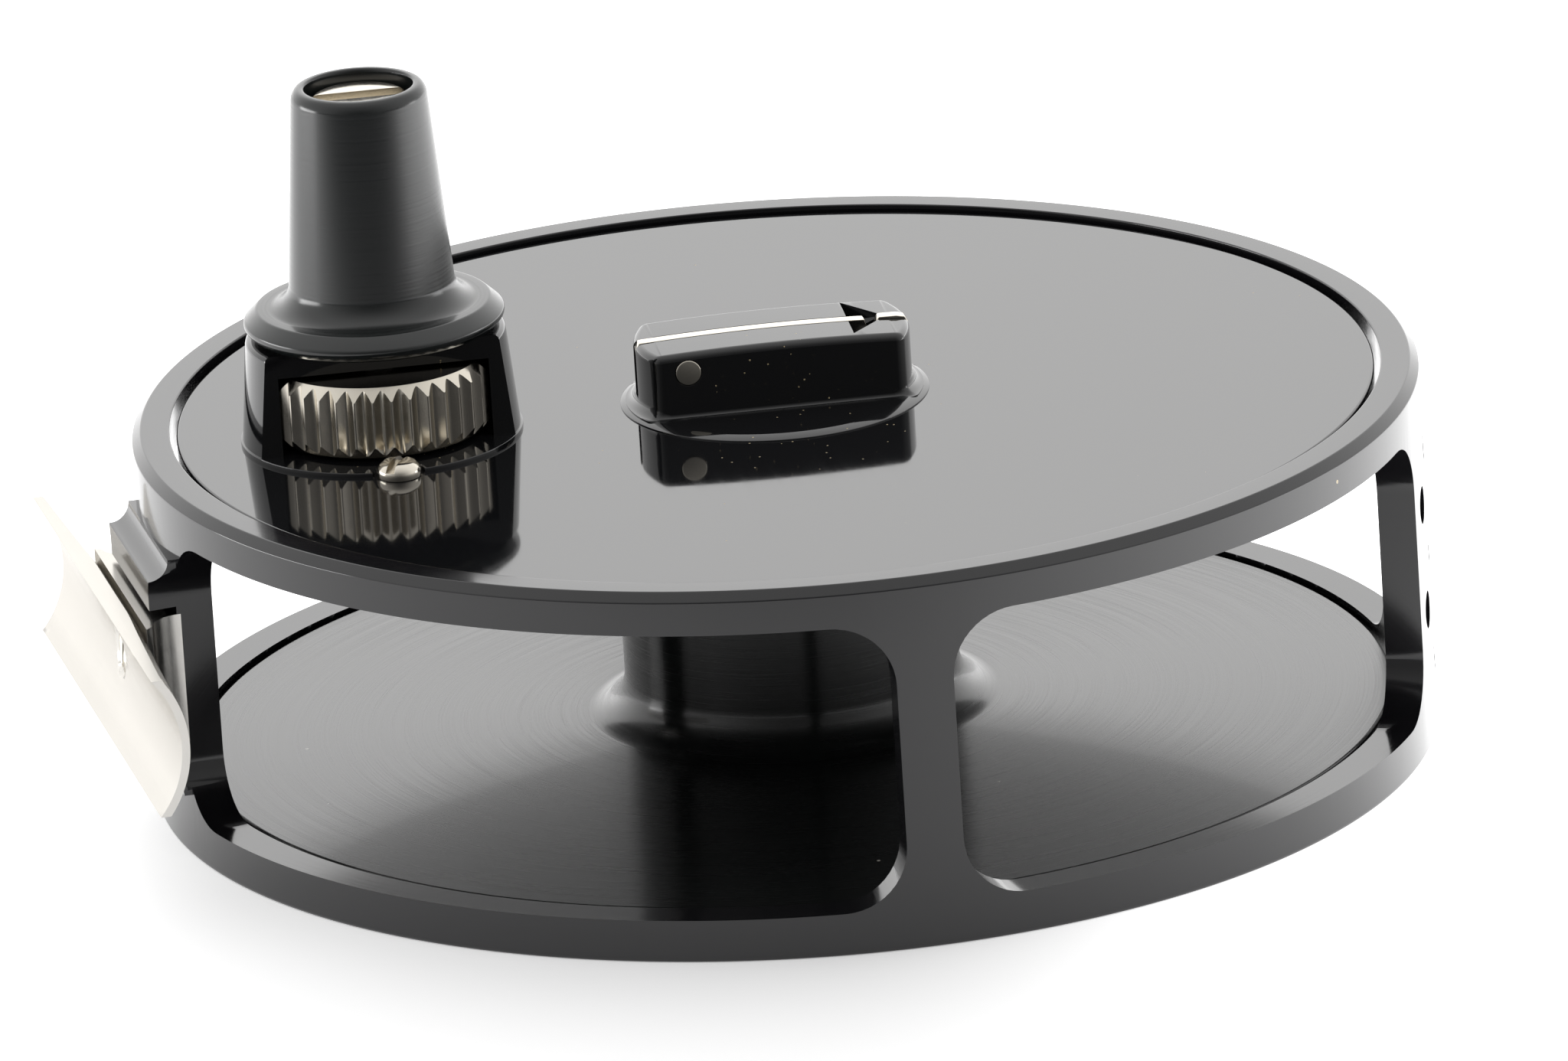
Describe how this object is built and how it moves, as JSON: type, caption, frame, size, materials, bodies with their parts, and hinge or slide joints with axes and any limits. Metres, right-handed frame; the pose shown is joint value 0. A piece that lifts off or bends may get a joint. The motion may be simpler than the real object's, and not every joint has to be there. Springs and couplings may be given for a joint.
{
  "type": "fly fishing reel",
  "caption": "Round fly-fishing reel: open one-piece cage with a rod foot, quick-release spool, tapered crank grip, thumbwheel brake and centre latch.",
  "frame": {"origin": "on the reel axis, at the rear face that the reel lies on", "axes": "+Z along the reel axis from the rear plate to the crank side, -X towards the rod foot"},
  "size_m": [0.0995, 0.095, 0.0545],
  "materials": {
    "black_anodised": "polished black anodised, near-mirror on the front plate and turned grain on the flanges",
    "satin_anodised": "satin grey-black anodised, turned",
    "nickel_silver": "warm polished nickel silver",
    "steel": "ground stainless steel",
    "spring_steel": "tempered spring steel",
    "bronze": "turned bearing bronze",
    "cork": "dense cork brake pad"
  },
  "bodies": {
    "frame": {"frame_cage": "black_anodised", "reel_foot": "nickel_silver", "foot_screw": "nickel_silver", "rear_plate": "black_anodised", "rear_plate_screw_1": "steel", "rear_plate_screw_2": "steel", "rear_plate_screw_3": "steel", "rear_plate_screw_4": "steel", "rear_plate_screw_5": "steel", "rear_plate_screw_6": "steel", "spindle": "steel", "spindle_screw_1": "steel", "spindle_screw_2": "steel", "spindle_screw_3": "steel", "pawl_post": "steel", "spring_post": "steel", "click_spring": "spring_steel"},
    "pawl": {"click_pawl": "steel"},
    "spool": {"spool": "black_anodised", "front_bush": "bronze", "rear_bush": "bronze", "check_gear": "bronze", "face_plate": "black_anodised", "face_plate_screw_1": "steel", "face_plate_screw_2": "steel", "face_plate_screw_3": "steel", "face_plate_screw_4": "steel", "latch_housing": "black_anodised", "latch_screw_1": "steel", "latch_screw_2": "steel", "latch_pin": "nickel_silver", "latch_spring": "spring_steel", "handle_housing": "black_anodised", "handle_post": "steel", "post_nut": "steel", "grip_screw": "nickel_silver", "lock_screw": "nickel_silver", "brake_pin": "steel"},
    "latch_lever": {"latch_lever": "nickel_silver"},
    "latch_slide": {"latch_slide": "nickel_silver"},
    "grip": {"grip": "satin_anodised", "grip_bush": "bronze"},
    "thumbwheel": {"brake_wheel": "nickel_silver", "brake_cam": "steel"},
    "brake_arm": {"brake_lever": "steel", "brake_pad": "cork"}
  },
  "joints": [
    {"name": "spool_spin", "type": "hinge", "parent": "frame", "child": "spool", "pos_m": [0, 0, 0], "axis": [0, 0, 1], "continuous": true},
    {"name": "pawl_lift", "type": "hinge", "parent": "frame", "child": "pawl", "pos_m": [0.0092, 0, 0], "axis": [0, 0, 1], "range_deg": [-10, 0], "stiffness_Nm_per_rad": 0.002},
    {"name": "grip_spin", "type": "hinge", "parent": "spool", "child": "grip", "pos_m": [-0.0291, 0.00242, 0], "axis": [0, 0, 1], "continuous": true},
    {"name": "brake_dial", "type": "hinge", "parent": "spool", "child": "thumbwheel", "pos_m": [-0.0291, 0.00242, 0], "axis": [0, 0, 1], "range_deg": [0, 300]},
    {"name": "brake_press", "type": "hinge", "parent": "spool", "child": "brake_arm", "pos_m": [-0.01396, 0.00708, 0], "axis": [0, 0, 1], "range_deg": [-1.4, 0]},
    {"name": "latch_lift", "type": "hinge", "parent": "spool", "child": "latch_lever", "pos_m": [-0.00678, 0.00056, 0.0313], "axis": [-0.0828, -0.9966, 0], "range_deg": [0, 40]},
    {"name": "latch_release", "type": "slide", "parent": "spool", "child": "latch_slide", "axis": [0.9966, -0.0828, 0], "range_m": [0, 0.0013], "stiffness_N_per_m": 100}
  ],
  "couplings": [
    {"joint": "brake_press", "follows": "brake_dial", "ratio": -0.0046666},
    {"joint": "latch_lift", "follows": "latch_release", "rad_per_m": 537}
  ]
}
